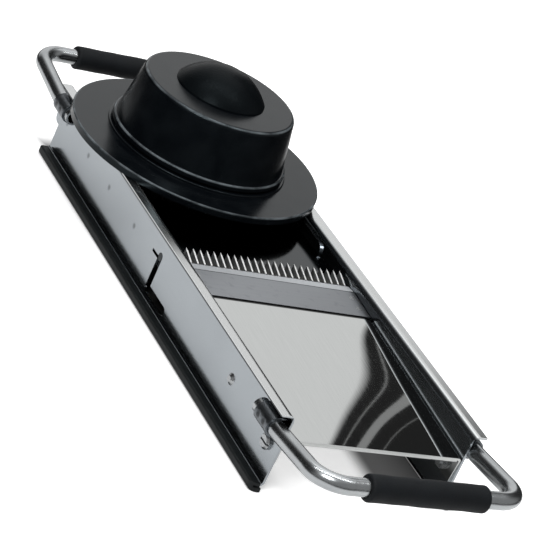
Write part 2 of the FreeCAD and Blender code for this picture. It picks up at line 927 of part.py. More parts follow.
def stem_screw():
    """The screw from below that holds the pin plate on the stem."""
    low = pin_plate_height - stem_screw_head_height
    radius = stem_screw_diameter / 2
    outline = [
        (0, low, 0),
        (stem_screw_head / 2 - stem_screw_head_height / 2, low, 0),
        (stem_screw_head / 2, low + stem_screw_head_height / 2, 0),
        (stem_screw_head / 2, pin_plate_height, 0),
        (radius, pin_plate_height, 0),
        (radius, pin_plate_height + stem_screw_depth, 0),
        (0, pin_plate_height + stem_screw_depth, 0),
    ]
    return turned(outline)


def pair(shape):
    """A right piece and its left mirror image, as one group of separate solids."""
    return Part.makeCompound([shape, other_side(shape)])


nodes = {}
wall = side_wall()
guide = feed_guide()
strip = foot_strip()
pin = comb_pin()
nodes["left_side_wall"] = other_side(wall)
nodes["right_side_wall"] = wall.cut(web_hole(shaft_place, shaft_height, bush_diameter / 2 + fastener_clearance / 2))
nodes["left_feed_guide"] = other_side(guide)
nodes["right_feed_guide"] = guide
nodes["left_foot_strip"] = other_side(strip)
nodes["right_foot_strip"] = strip
for end_name, end in (("near", -1), ("far", 1)):
    saddle = handle_saddle(end)
    nodes[end_name + "_handle_tube"] = handle_tube(end)
    nodes[end_name + "_handle_grip"] = handle_grip(end)
    nodes[end_name + "_left_saddle"] = other_side(saddle)
    nodes[end_name + "_right_saddle"] = saddle
nodes["outfeed_plate"] = outfeed_plate()
nodes["main_blade"] = main_blade()
nodes["blade_screws"] = tilted(Part.makeCompound(blade_screw_set(0)))
nodes["plate_rivets"] = pair(plate_rivet())
nodes["wall_screws"] = pair(wall_screw())
nodes["wall_nuts"] = pair(wall_nut())
nodes["feed_plate"] = feed_plate()
nodes["hinge_rod"] = hinge_rod()
nodes["rod_caps"] = pair(rod_cap())
nodes["cam_shaft"] = cam_shaft()
nodes["left_lift_cam"] = lift_cam(-1)
nodes["right_lift_cam"] = lift_cam(1)
nodes["shaft_bush"] = shaft_bush()
nodes["thickness_knob"] = thickness_knob()
nodes["knob_screw"] = knob_screw()
nodes["julienne_comb"] = julienne_comb()
nodes["comb_carrier"] = comb_carrier()
nodes["left_comb_pin"] = other_side(pin)
nodes["right_comb_pin"] = pin
nodes["comb_screws"] = Part.makeCompound([comb_screw(side, 0) for side in (-1, 1)])
nodes["pusher_base"] = pusher_base()
nodes["plunger_cap"] = plunger_cap()
nodes["plunger_dome"] = plunger_dome()
nodes["plunger_stem"] = plunger_stem()
nodes["pin_plate"] = pin_plate()
nodes["food_pins"] = Part.makeCompound([food_pin(place) for place in food_pin_places()])
nodes["stem_screw"] = stem_screw()

os.makedirs("parts", exist_ok=True)
for name, shape in nodes.items():
    shape.exportStep("parts/" + name + ".step")
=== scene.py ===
import math

import bpy
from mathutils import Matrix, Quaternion, Vector


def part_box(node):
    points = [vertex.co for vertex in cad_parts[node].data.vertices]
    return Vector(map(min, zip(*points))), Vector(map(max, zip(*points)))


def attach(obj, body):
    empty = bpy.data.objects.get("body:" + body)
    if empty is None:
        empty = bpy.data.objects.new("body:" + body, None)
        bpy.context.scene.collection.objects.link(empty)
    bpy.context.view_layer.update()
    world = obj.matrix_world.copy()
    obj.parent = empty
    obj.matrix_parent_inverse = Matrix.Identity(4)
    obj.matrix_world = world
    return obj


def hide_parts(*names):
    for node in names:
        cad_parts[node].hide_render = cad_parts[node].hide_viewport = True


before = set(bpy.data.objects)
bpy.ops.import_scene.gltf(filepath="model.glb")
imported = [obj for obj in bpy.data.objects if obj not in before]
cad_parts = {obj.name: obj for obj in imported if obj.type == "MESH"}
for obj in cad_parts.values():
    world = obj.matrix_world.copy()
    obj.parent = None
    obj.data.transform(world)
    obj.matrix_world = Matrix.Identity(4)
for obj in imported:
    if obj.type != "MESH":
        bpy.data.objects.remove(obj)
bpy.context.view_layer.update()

# Side walls and feed guides
# Two channels folded from rolled stainless sheet, each with a rail bent out along its top and a
# foot flange below. Flat liners of the same sheet are spot-welded inside them along the feed half.

MM = 0.001


def linear(hex_colour):
    """An sRGB hex colour as the linear RGBA that a shader takes."""
    shares = [int(hex_colour[i:i + 2], 16) / 255 for i in (1, 3, 5)]
    return [s / 12.92 if s <= 0.04045 else ((s + 0.055) / 1.055) ** 2.4 for s in shares] + [1.0]


def add(tree, kind, inputs, out=0, **settings):
    """Adds a shader node, sets or links its inputs and gives one output, or the node for None."""
    made = tree.nodes.new("ShaderNode" + kind)
    for name, value in settings.items():
        setattr(made, name, value)
    for name, value in inputs.items():
        if isinstance(value, bpy.types.NodeSocket):
            tree.links.new(value, made.inputs[name])
        else:
            made.inputs[name].default_value = value
    return made if out is None else made.outputs[out]


def new_finish(name, **sockets):
    """A material with one shader, whose constant sockets are set, and the coordinates in metres."""
    made = bpy.data.materials.new(name)
    made.use_nodes = True
    tree = made.node_tree
    shader = tree.nodes["Principled BSDF"]
    for socket, value in sockets.items():
        shader.inputs[socket.replace("_", " ")].default_value = value
    return made, tree, shader, add(tree, "TexCoord", {}, "Object")


def connect(tree, shader, **sources):
    """Links a colour, roughness or normal to the shader."""
    for socket, source in sources.items():
        tree.links.new(source, shader.inputs[socket.replace("_", " ")])


def dress(finish, *names):
    """Gives CAD nodes a finish."""
    for name in names:
        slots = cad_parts[name].data.materials
        slots.clear()
        slots.append(finish)


# Rolled stainless: pale grey and even, with a sheen drawn out along the rolling direction and a
# few hazy smears. The real grain is about 0.1 mm wide, drawn here at 0.5 mm so that it shows.
# Each spot weld leaves a small dark heat tint in its dent. The rail tops are painted lighter, a
# painted highlight that also stands for the pusher's rub. The lower half of the rails' outer edges
# and the wall's face under the rails are painted dark, painted shade under the rails' overhang.
grain_dark = linear("#989da1")
grain_pale = linear("#a6abaf")
grain_width = 0.5 * MM
grain_length = 40 * MM
grain_rise = 0.02 * MM
grain_relief = 0.12
grain_rough = (-0.02, 0.05)
smear_tone = linear("#9a9fa3")
smear_size = 45 * MM
smear_span = (0.3, 0.7)
smear_rough = (0.14, 0.22)
weld_tone = linear("#5f6264")
weld_places = (38.3, 75.2, 106.9, 140.3)
weld_height = 22.9
weld_core = 0.7 * MM
weld_reach = 2.0 * MM
weld_depth = 0.75
rail_bright = linear("#c9cbcb")
rail_wear_starts = 40.2 * MM
rail_wear_full = 41.3 * MM
dirt_tone = linear("#141617")
dirt_depth = 0.9
rail_edge = 57.25 * MM
rail_edge_dark_to = 40.85 * MM
edge_blur = 0.1 * MM
rail_under = 40.1 * MM
rail_shade_starts = 34.0 * MM
rail_shade_full = 36.6 * MM
web_face_place = 53.0 * MM
web_face_half = 2.4 * MM

rolled_steel, tree, shader, place = new_finish("rolled_stainless_satin", Metallic=1.0)
grain_scale = (1 / grain_width, 1 / grain_length, 1 / grain_width)
stretched = add(tree, "Mapping", {"Vector": place, "Scale": grain_scale})
grain = add(tree, "TexNoise", {"Vector": stretched, "Scale": 1.0, "Detail": 2.0})
smear = add(tree, "TexNoise", {"Vector": place, "Scale": 1 / smear_size, "Detail": 3.0})
cloud = add(tree, "MapRange", {"Value": smear, "From Min": smear_span[0], "From Max": smear_span[1]})
streak = add(tree, "MixRGB", {"Fac": grain, "Color1": grain_dark, "Color2": grain_pale})
tone = add(tree, "MixRGB", {"Fac": cloud, "Color1": streak, "Color2": smear_tone})

on_web = add(tree, "VectorMath", {0: place, 1: (0.0, 1.0, 1.0)}, operation="MULTIPLY")
weld_fade = {"From Min": weld_core, "From Max": weld_reach, "To Min": weld_depth, "To Max": 0.0}
for weld_place in weld_places:
    centre = (0.0, weld_place * MM, weld_height * MM)
    off = add(tree, "VectorMath", {0: on_web, 1: centre}, "Value", operation="DISTANCE")
    tint = add(tree, "MapRange", {"Value": off, **weld_fade})
    tone = add(tree, "MixRGB", {"Fac": tint, "Color1": tone, "Color2": weld_tone})

height = add(tree, "SeparateXYZ", {"Vector": place}, "Z")
sides = add(tree, "VectorMath", {0: place}, operation="ABSOLUTE")
sideways = add(tree, "SeparateXYZ", {"Vector": sides}, "X")
# Painted highlight: the rail tops are painted lighter.
wear_span = {"From Min": rail_wear_starts, "From Max": rail_wear_full}
worn = add(tree, "MapRange", {"Value": height, **wear_span})
tone = add(tree, "MixRGB", {"Fac": worn, "Color1": tone, "Color2": rail_bright})

# Painted shade: the lower half of the rail's outer edge and the wall's face under the rail are painted
# dark.
edge_span = {"From Min": rail_edge - edge_blur, "From Max": rail_edge}
at_edge = add(tree, "MapRange", {"Value": sideways, **edge_span})
low_span = {"From Min": rail_edge_dark_to + edge_blur, "From Max": rail_edge_dark_to}
low_edge = add(tree, "MapRange", {"Value": height, **low_span, "To Max": dirt_depth})
sheared = add(tree, "Math", {0: at_edge, 1: low_edge}, operation="MULTIPLY")
shade_span = {"From Min": rail_shade_starts, "From Max": rail_shade_full}
shaded = add(tree, "MapRange", {"Value": height, **shade_span, "To Max": dirt_depth})
web_face = add(tree, "Math", {0: sideways, 1: web_face_place, 2: web_face_half}, operation="COMPARE")
below_rail = add(tree, "Math", {0: height, 1: rail_under}, operation="LESS_THAN")
grime = add(tree, "Math", {0: shaded, 1: below_rail}, operation="MULTIPLY")
grime = add(tree, "Math", {0: grime, 1: web_face}, operation="MULTIPLY")
dirt = add(tree, "Math", {0: sheared, 1: grime}, operation="MAXIMUM")
tone = add(tree, "MixRGB", {"Fac": dirt, "Color1": tone, "Color2": dirt_tone})

hazy = add(tree, "MapRange", {"Value": smear, "To Min": smear_rough[0], "To Max": smear_rough[1]})
drawn = add(tree, "MapRange", {"Value": grain, "To Min": grain_rough[0], "To Max": grain_rough[1]})
rough = add(tree, "Math", {0: hazy, 1: drawn}, operation="ADD")
relief = add(tree, "Bump", {"Height": grain, "Strength": grain_relief, "Distance": grain_rise})
connect(tree, shader, Base_Color=tone, Roughness=rough, Normal=relief)
dress(rolled_steel, "left_side_wall", "right_side_wall", "left_feed_guide", "right_feed_guide")

# Foot strips
# Channels of black rubber, extruded in one length, cut and pushed over the walls' foot flanges, so
# that the slicer neither slips nor scratches what it stands on.

# Extruded rubber: black and dull, with faint lines left by the die along its length and a dusty
# bloom. The die lines are about 0.15 mm apart, drawn here at 0.7 mm so that they show.
rubber_black = linear("#0c0e0f")
rubber_bloom = linear("#171b1c")
rubber_rough = (0.38, 0.58)
die_line = 0.7 * MM
die_run = 60 * MM
die_rise = 0.06 * MM
die_relief = 0.4
bloom_size = 6 * MM

extruded_rubber, tree, shader, place = new_finish(
    "rubber_extruded", IOR=1.5, Specular_IOR_Level=0.2
)
die_scale = (1 / die_line, 1 / die_run, 1 / die_line)
stretched = add(tree, "Mapping", {"Vector": place, "Scale": die_scale})
lines = add(tree, "TexNoise", {"Vector": stretched, "Scale": 1.0, "Detail": 1.0})
bloom = add(tree, "TexNoise", {"Vector": place, "Scale": 1 / bloom_size, "Detail": 4.0})
tone = add(tree, "MixRGB", {"Fac": bloom, "Color1": rubber_black, "Color2": rubber_bloom})
rough = add(tree, "MapRange", {"Value": lines, "To Min": rubber_rough[0], "To Max": rubber_rough[1]})
relief = add(tree, "Bump", {"Height": lines, "Strength": die_relief, "Distance": die_rise})
connect(tree, shader, Base_Color=tone, Roughness=rough, Normal=relief)
dress(extruded_rubber, "left_foot_strip", "right_foot_strip")

# Handle tubes and their saddles
# Stainless tube bent to a flat U and polished, held under the rails by strap saddles of thin
# sheet that are spot-welded to the walls.

# Polished tube: a soft mirror, with draw lines that smear the reflections, and a little haze from
# handling. The draw lines are drawn at 0.6 mm, coarser than real, to show.
tube_dark = linear("#9a9da0")
tube_pale = linear("#b3b6b7")
tube_rough = (0.2, 0.3)
draw_line = 0.6 * MM
draw_run = 30 * MM
draw_rise = 0.03 * MM
draw_relief = 0.03
haze_size = 14 * MM

polished_tube, tree, shader, place = new_finish("stainless_tube_polished", Metallic=1.0)
draw_scale = (1 / draw_run, 1 / draw_line, 1 / draw_line)
stretched = add(tree, "Mapping", {"Vector": place, "Scale": draw_scale})
lines = add(tree, "TexNoise", {"Vector": stretched, "Scale": 1.0, "Detail": 2.0})
haze = add(tree, "TexNoise", {"Vector": place, "Scale": 1 / haze_size, "Detail": 1.0})
tone = add(tree, "MixRGB", {"Fac": haze, "Color1": tube_dark, "Color2": tube_pale})
rough = add(tree, "MapRange", {"Value": haze, "To Min": tube_rough[0], "To Max": tube_rough[1]})
relief = add(tree, "Bump", {"Height": lines, "Strength": draw_relief, "Distance": draw_rise})
connect(tree, shader, Base_Color=tone, Roughness=rough, Normal=relief)
dress(polished_tube, "near_handle_tube", "far_handle_tube")

# Pickled strap: the saddles are dull grey from the acid that took off the weld scale, and each has
# two spot welds, a dent with a dark ring of heat tint round it.
strap_dark = linear("#5c6064")
strap_pale = linear("#73777b")
strap_rough = (0.28, 0.42)
strap_tint = linear("#1b1d1f")
strap_tint_depth = 0.85
strap_welds = (136.4, 142.2)
strap_height = 32.2
nugget = 0.9 * MM
tint_ring = 2.3 * MM
dent_rise = 0.3 * MM
dent_relief = 0.6
scale_size = 3 * MM

pickled_strap, tree, shader, place = new_finish("stainless_strap_pickled", Metallic=1.0)
scale = add(tree, "TexNoise", {"Vector": place, "Scale": 1 / scale_size, "Detail": 4.0})
tone = add(tree, "MixRGB", {"Fac": scale, "Color1": strap_dark, "Color2": strap_pale})
flat = add(tree, "VectorMath", {0: place}, operation="ABSOLUTE")
flat = add(tree, "VectorMath", {0: flat, 1: (0.0, 1.0, 1.0)}, operation="MULTIPLY")
dents = scale
ring_fade = {"From Min": nugget, "From Max": tint_ring, "To Min": strap_tint_depth, "To Max": 0.0}
for weld in strap_welds:
    centre = (0.0, weld * MM, strap_height * MM)
    off = add(tree, "VectorMath", {0: flat, 1: centre}, "Value", operation="DISTANCE")
    tint = add(tree, "MapRange", {"Value": off, **ring_fade})
    tone = add(tree, "MixRGB", {"Fac": tint, "Color1": tone, "Color2": strap_tint})
    dents = add(tree, "Math", {0: dents, 1: tint}, operation="SUBTRACT")
rough = add(tree, "MapRange", {"Value": scale, "To Min": strap_rough[0], "To Max": strap_rough[1]})
relief = add(tree, "Bump", {"Height": dents, "Strength": dent_relief, "Distance": dent_rise})
connect(tree, shader, Base_Color=tone, Roughness=rough, Normal=relief)
dress(pickled_strap, "near_left_saddle", "near_right_saddle", "far_left_saddle", "far_right_saddle")

# Handle grips
# Sleeves of black foam rubber, moulded and pushed over the bars. Their ends roll in round the tube,
# and the soft wall is never quite round or straight.

tube_fit = 4.4 * MM
end_roll = 1.5 * MM
end_face = 0.7 * MM
slack = 0.11 * MM
long_sway = 190  # radians per metre along the bar
short_sway = 410
roll_steps = 8
wall_steps = 64
round_steps = 72


def sleeve(name, node):
    """A grip sleeve in a CAD grip's place: rings of points along the bar, closed through the bore."""
    low, high = (Vector(corner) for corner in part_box(node))
    middle = (low + high) / 2
    half = (high.x - low.x) / 2
    outer = (high.z - low.z) / 2
    face = tube_fit + end_face
    roll = []
    for step in range(roll_steps + 1):
        swing = math.pi / 2 * step / roll_steps
        inset = end_roll * (1 - math.cos(swing))
        roll.append((half - inset, face + (outer - face) * math.sin(swing)))
    straight = half - end_roll
    wall = [(straight * (1 - 2 * step / wall_steps), outer) for step in range(1, wall_steps)]
    far_roll = [(-x, radius) for x, radius in reversed(roll)]
    rings = [(half, tube_fit)] + roll + wall + far_roll + [(-half, tube_fit)]

    points = []
    for x, radius in rings:
        depth = min(1.0, (radius - tube_fit) / (outer - tube_fit))
        for step in range(round_steps):
            swing = 2 * math.pi * step / round_steps
            sway = math.sin(x * long_sway + 2 * swing) + math.sin(x * short_sway - swing) - 2
            reach = radius + slack * depth * sway / 2
            points.append(middle + Vector((x, reach * math.sin(swing), reach * math.cos(swing))))
    faces = []
    for ring in range(len(rings)):
        after = (ring + 1) % len(rings)
        for step in range(round_steps):
            beside = (step + 1) % round_steps
            corners = ((ring, step), (ring, beside), (after, beside), (after, step))
            faces.append([line * round_steps + spot for line, spot in corners])

    mesh = bpy.data.meshes.new(name)
    mesh.from_pydata(points, [], faces)
    mesh.polygons.foreach_set("use_smooth", [True] * len(faces))
    piece = bpy.data.objects.new(name, mesh)
    bpy.context.scene.collection.objects.link(piece)
    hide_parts(node)
    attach(piece, "frame")
    return piece


# Moulded foam rubber: charcoal and matt, with a fine closed-cell grain. The cells are about
# 0.2 mm, drawn here at 0.6 mm so that they show.
foam_dark = linear("#090b0d")
foam_pale = linear("#12161a")
foam_rough = (0.55, 0.8)
cell_size = 0.6 * MM
cell_rise = 0.12 * MM
cell_relief = 0.5
blotch_size = 9 * MM

foam_rubber, tree, shader, place = new_finish(
    "foam_rubber_moulded", IOR=1.5, Specular_IOR_Level=0.2
)
cells = add(tree, "TexNoise", {"Vector": place, "Scale": 1 / cell_size, "Detail": 2.0})
blotch = add(tree, "TexNoise", {"Vector": place, "Scale": 1 / blotch_size, "Detail": 3.0})
tone = add(tree, "MixRGB", {"Fac": blotch, "Color1": foam_dark, "Color2": foam_pale})
rough = add(tree, "MapRange", {"Value": cells, "To Min": foam_rough[0], "To Max": foam_rough[1]})
relief = add(tree, "Bump", {"Height": cells, "Strength": cell_relief, "Distance": cell_rise})
connect(tree, shader, Base_Color=tone, Roughness=rough, Normal=relief)
dress(foam_rubber, "near_handle_grip", "far_handle_grip")
sleeve("near_grip_sleeve", "near_handle_grip").data.materials.append(foam_rubber)
sleeve("far_grip_sleeve", "far_handle_grip").data.materials.append(foam_rubber)

# Outfeed plate
# The sloping deck behind the blade, pressed from polished sheet with folded sides and a rolled
# lip, riveted and screwed between the walls.

# Polished sheet: a pale mirror. Pressing leaves the sheet wavy and twisted by under half a degree,
# so what it reflects bends, and wiping leaves faint lines along the slide of the food, drawn at
# 0.8 mm, coarser than real, to show. The groove at the blade's back, which starts at the deck's far
# end, is painted near black, painted shade in the groove.
deck_dark = linear("#babcbb")
deck_pale = linear("#c3c5c4")
deck_rough = (0.01, 0.03)
juice_tone = linear("#0e0f0f")
juice_depth = 0.97
groove_edge = -41.7 * MM
groove_blur = 0.3 * MM
wave_size = 75 * MM
wave_rise = 0.16 * MM
wave_pick = 1.3
twist = 0.0042
twist_start = -151 * MM
twist_length = 104 * MM
wipe_line = 0.8 * MM
wipe_run = 50 * MM
wipe_rise = 0.02 * MM
deck_wipe_relief = 0.02

polished_sheet, tree, shader, place = new_finish("stainless_sheet_polished", Metallic=1.0)
wave_inputs = {"Vector": place, "W": wave_pick, "Scale": 1 / wave_size, "Detail": 0.0}
waves = add(tree, "TexNoise", wave_inputs, noise_dimensions="4D")
wipe_scale = (1 / wipe_line, 1 / wipe_run, 1 / wipe_line)
stretched = add(tree, "Mapping", {"Vector": place, "Scale": wipe_scale})
wipes = add(tree, "TexNoise", {"Vector": stretched, "Scale": 1.0, "Detail": 2.0})
bright = add(tree, "MixRGB", {"Fac": wipes, "Color1": deck_dark, "Color2": deck_pale})
across, along = add(tree, "SeparateXYZ", {"Vector": place}, None).outputs[:2]
# Painted shade: the groove at the blade's back is painted near black.
groove_span = {"From Min": groove_edge - groove_blur, "From Max": groove_edge}
grime = add(tree, "MapRange", {"Value": along, **groove_span, "To Max": juice_depth})
tone = add(tree, "MixRGB", {"Fac": grime, "Color1": bright, "Color2": juice_tone})
rough = add(tree, "MapRange", {"Value": wipes, "To Min": deck_rough[0], "To Max": deck_rough[1]})

twist_span = {"From Min": twist_start, "From Max": twist_start + twist_length, "To Max": 2 * math.pi}
turns = add(tree, "MapRange", {"Value": along, **twist_span}, clamp=False)
lean = add(tree, "Math", {0: turns}, operation="SINE")
lean = add(tree, "Math", {0: lean, 1: twist}, operation="MULTIPLY")
warp = add(tree, "Math", {0: lean, 1: across}, operation="MULTIPLY")
rise = add(tree, "Math", {0: waves, 1: wave_rise, 2: warp}, operation="MULTIPLY_ADD")
swell = add(tree, "Bump", {"Height": rise, "Strength": 1.0, "Distance": 1.0})
wiped = {"Height": wipes, "Strength": deck_wipe_relief, "Distance": wipe_rise}
relief = add(tree, "Bump", {**wiped, "Normal": swell})
connect(tree, shader, Base_Color=tone, Roughness=rough, Normal=relief)
dress(polished_sheet, "outfeed_plate")

# Main blade
# A straight strip of hardened stainless, ground flat and bevelled to its edge, let into a step at
# the head of the deck and held by a pair of small screws at each end.

# Ground blade steel: mid grey, with fine lines across the blade's length from the wheel and dark
# flecks of old food stain. The bevel is honed to a whiter, duller face, with a painted shade line
# at the step where the hone starts. The lines are drawn at 0.45 mm, coarser than real, to show.
blade_dark = linear("#8d9094")
blade_pale = linear("#9b9ea2")
blade_rough = (0.26, 0.4)
wheel_line = 0.45 * MM
wheel_run = 25 * MM
wheel_rise = 0.02 * MM
blade_relief = 0.2
fleck_tone = linear("#75787b")
fleck_size = 5 * MM
fleck_span = {"From Min": 0.58, "From Max": 0.72, "To Max": 0.35}
hone_tone = linear("#c2c5c8")
hone_dulls = 0.3
bevel_start = -18.3 * MM
bevel_blur = 0.05 * MM
step_tone = linear("#3c3f42")
step_depth = 0.7
hone_step = -18.6 * MM
hone_step_half = 0.3 * MM

ground_blade, tree, shader, place = new_finish("blade_steel_ground", Metallic=1.0)
wheel_scale = (1 / wheel_run, 1 / wheel_line, 1 / wheel_line)
stretched = add(tree, "Mapping", {"Vector": place, "Scale": wheel_scale})
lines = add(tree, "TexNoise", {"Vector": stretched, "Scale": 1.0, "Detail": 2.0})
flecks = add(tree, "TexNoise", {"Vector": place, "Scale": 1 / fleck_size, "Detail": 5.0})
stain = add(tree, "MapRange", {"Value": flecks, **fleck_span})
bright = add(tree, "MixRGB", {"Fac": lines, "Color1": blade_dark, "Color2": blade_pale})
tone = add(tree, "MixRGB", {"Fac": stain, "Color1": bright, "Color2": fleck_tone})
along = add(tree, "SeparateXYZ", {"Vector": place}, "Y")
bevel_span = {"From Min": bevel_start - bevel_blur, "From Max": bevel_start + bevel_blur}
honed = add(tree, "MapRange", {"Value": along, **bevel_span})
tone = add(tree, "MixRGB", {"Fac": honed, "Color1": tone, "Color2": hone_tone})
# Painted shade: a dark line at the step where the hone starts.
step = add(tree, "Math", {0: along, 1: hone_step, 2: hone_step_half}, operation="COMPARE")
step = add(tree, "MapRange", {"Value": step, "To Max": step_depth})
tone = add(tree, "MixRGB", {"Fac": step, "Color1": tone, "Color2": step_tone})
ground = add(tree, "MapRange", {"Value": lines, "To Min": blade_rough[0], "To Max": blade_rough[1]})
duller = add(tree, "MapRange", {"Value": honed, "To Max": hone_dulls})
rough = add(tree, "Math", {0: ground, 1: duller}, operation="ADD")
relief = add(tree, "Bump", {"Height": lines, "Strength": blade_relief, "Distance": wheel_rise})
connect(tree, shader, Base_Color=tone, Roughness=rough, Normal=relief)
dress(ground_blade, "main_blade")

# Screws, rivets and nuts
# Small steel fasteners turned from bar. Screws hold the blade to its seat and, with nuts inside, the
# deck between the walls, where rivets are closed over inside the deck's folded sides.

# Turned steel: plain grey with fine rings from the lathe. The rings are about 0.05 mm apart,
# drawn as a 0.3 mm speckle so that the small heads don't look like flat paint.
turned_dark = linear("#8f9294")
turned_pale = linear("#b5b7b8")
turned_rough = (0.2, 0.36)
speckle_size = 0.3 * MM
speckle_rise = 0.02 * MM
speckle_relief = 0.15

turned_steel, tree, shader, place = new_finish("steel_turned", Metallic=1.0)
speckle = add(tree, "TexNoise", {"Vector": place, "Scale": 1 / speckle_size, "Detail": 3.0})
tone = add(tree, "MixRGB", {"Fac": speckle, "Color1": turned_dark, "Color2": turned_pale})
rough = add(tree, "MapRange", {"Value": speckle, "To Min": turned_rough[0], "To Max": turned_rough[1]})
relief = add(tree, "Bump", {"Height": speckle, "Strength": speckle_relief, "Distance": speckle_rise})
connect(tree, shader, Base_Color=tone, Roughness=rough, Normal=relief)
dress(turned_steel, "blade_screws", "plate_rivets", "wall_screws", "wall_nuts")

# Feed plate and its hinge
# The plate that the food slides on, a folded sheet curled at its far end round a rod that turns in
# the guides and is kept there by push-on caps.

# Polished stainless painted a deep grey: a painted dark reflection on the feed plate and painted
# shade on the comb's carrier and pins, with faint lines rubbed along it by the food.
black_dark = linear("#26292b")
black_pale = linear("#34383a")
black_rough = (0.06, 0.14)
feed_wipe_relief = 0.05

# Painted reflection and shade: a dark base colour in place of polished steel's own.
black_steel, tree, shader, place = new_finish("stainless_polished_painted_dark", Metallic=1.0)
stretched = add(tree, "Mapping", {"Vector": place, "Scale": wipe_scale})
wipes = add(tree, "TexNoise", {"Vector": stretched, "Scale": 1.0, "Detail": 2.0})
tone = add(tree, "MixRGB", {"Fac": wipes, "Color1": black_dark, "Color2": black_pale})
rough = add(tree, "MapRange", {"Value": wipes, "To Min": black_rough[0], "To Max": black_rough[1]})
relief = add(tree, "Bump", {"Height": wipes, "Strength": feed_wipe_relief, "Distance": wipe_rise})
connect(tree, shader, Base_Color=tone, Roughness=rough, Normal=relief)
dress(black_steel, "feed_plate")
dress(turned_steel, "hinge_rod", "rod_caps")

# Thickness adjuster
# A cross shaft with two moulded cams under the feed plate, carried by a flanged bush in the right
# wall and turned by a fluted knob that a screw holds on its end.

# Moulded nylon: off-white and waxy, a little translucent, with a soft mottled skin.
nylon_dark = linear("#d3d0c4")
nylon_pale = linear("#e0ddd2")
nylon_rough = (0.36, 0.5)
mottle_size = 2.5 * MM
light_sinks = 1.5 * MM

nylon, tree, shader, place = new_finish(
    "nylon_moulded", IOR=1.53, Subsurface_Weight=0.15, Subsurface_Scale=light_sinks
)
mottle = add(tree, "TexNoise", {"Vector": place, "Scale": 1 / mottle_size, "Detail": 3.0})
tone = add(tree, "MixRGB", {"Fac": mottle, "Color1": nylon_dark, "Color2": nylon_pale})
rough = add(tree, "MapRange", {"Value": mottle, "To Min": nylon_rough[0], "To Max": nylon_rough[1]})
connect(tree, shader, Base_Color=tone, Roughness=rough)
dress(nylon, "left_lift_cam", "right_lift_cam", "shaft_bush")
dress(turned_steel, "cam_shaft", "knob_screw")

# Julienne comb and its carrier
# A row of upright teeth ground from one bar, screwed to a folded cradle whose pins ride in the
# slots of the walls, so that the comb can be dropped out of use.

# Ground teeth: the brightest steel on the slicer, with fine upright lines from the wheel. The
# lines are drawn at 0.35 mm, coarser than real, to show.
tooth_dark = linear("#dcdddc")
tooth_pale = linear("#eeefee")
tooth_rough = (0.3, 0.45)
tooth_line = 0.35 * MM
tooth_relief = 0.15

ground_teeth, tree, shader, place = new_finish("tooth_steel_ground", Metallic=1.0)
tooth_scale = (1 / tooth_line, 1 / tooth_line, 1 / wheel_run)
stretched = add(tree, "Mapping", {"Vector": place, "Scale": tooth_scale})
lines = add(tree, "TexNoise", {"Vector": stretched, "Scale": 1.0, "Detail": 2.0})
tone = add(tree, "MixRGB", {"Fac": lines, "Color1": tooth_dark, "Color2": tooth_pale})
rough = add(tree, "MapRange", {"Value": lines, "To Min": tooth_rough[0], "To Max": tooth_rough[1]})
relief = add(tree, "Bump", {"Height": lines, "Strength": tooth_relief, "Distance": wheel_rise})
connect(tree, shader, Base_Color=tone, Roughness=rough, Normal=relief)
dress(ground_teeth, "julienne_comb")
# Painted shade: the comb's carrier and pins take the same dark colour.
dress(black_steel, "comb_carrier", "left_comb_pin", "right_comb_pin")
dress(turned_steel, "comb_screws")

# Pusher and knob
# The hat-shaped pusher: a brim with the food cup that slides on the rails, and a hollow crown
# that presses a plate of pins down the cup. The adjuster's knob is moulded in the same plastic.

# Moulded ABS: black with a satin gloss, from a mould that was spark-eroded to a grain of about
# 0.1 mm, drawn here at 0.4 mm so that it shows, with faint scuffs where hands and food rub it. Its
# proud edges, round the crown, the bead and the brim, carry a painted highlight, a grey line broken
# up in places. Each is given by its radius about the pusher's axis and its height.
plastic_black = linear("#05070a")
plastic_scuffed = linear("#0b0e11")
plastic_gleam = linear("#e1f7ff")
plastic_rough = (0.19, 0.27)
erosion_grain = 0.4 * MM
erosion_rise = 0.03 * MM
erosion_relief = 0.12
scuff_size = 11 * MM
scuff_span = {"From Min": 0.35, "From Max": 0.75}
pusher_axis = (0.0, 94.0 * MM, 0.0)
proud_edges = ((40.9, 78.8), (47.8, 50.2), (68.8, 45.3))
edge_tone = linear("#6d7478")
edge_fade = {"From Min": 0.85 * MM, "From Max": 0.25 * MM, "To Max": 0.7}
edge_wear_span = {"From Min": 0.4, "From Max": 0.62, "To Min": 0.25}

moulded_plastic, tree, shader, place = new_finish(
    "abs_moulded_satin", IOR=1.5, Specular_IOR_Level=0.175, Specular_Tint=plastic_gleam
)
erosion = add(tree, "TexNoise", {"Vector": place, "Scale": 1 / erosion_grain, "Detail": 2.0})
scuffs = add(tree, "TexNoise", {"Vector": place, "Scale": 1 / scuff_size, "Detail": 5.0})
rub = add(tree, "MapRange", {"Value": scuffs, **scuff_span})
tone = add(tree, "MixRGB", {"Fac": rub, "Color1": plastic_black, "Color2": plastic_scuffed})
off_axis = add(tree, "VectorMath", {0: place, 1: pusher_axis}, operation="SUBTRACT")
height = add(tree, "SeparateXYZ", {"Vector": off_axis}, "Z")
off_axis = add(tree, "VectorMath", {0: off_axis, 1: (1.0, 1.0, 0.0)}, operation="MULTIPLY")
radius = add(tree, "VectorMath", {0: off_axis}, "Value", operation="LENGTH")
section = add(tree, "CombineXYZ", {"X": radius, "Z": height})
worn = add(tree, "MapRange", {"Value": scuffs, **edge_wear_span})
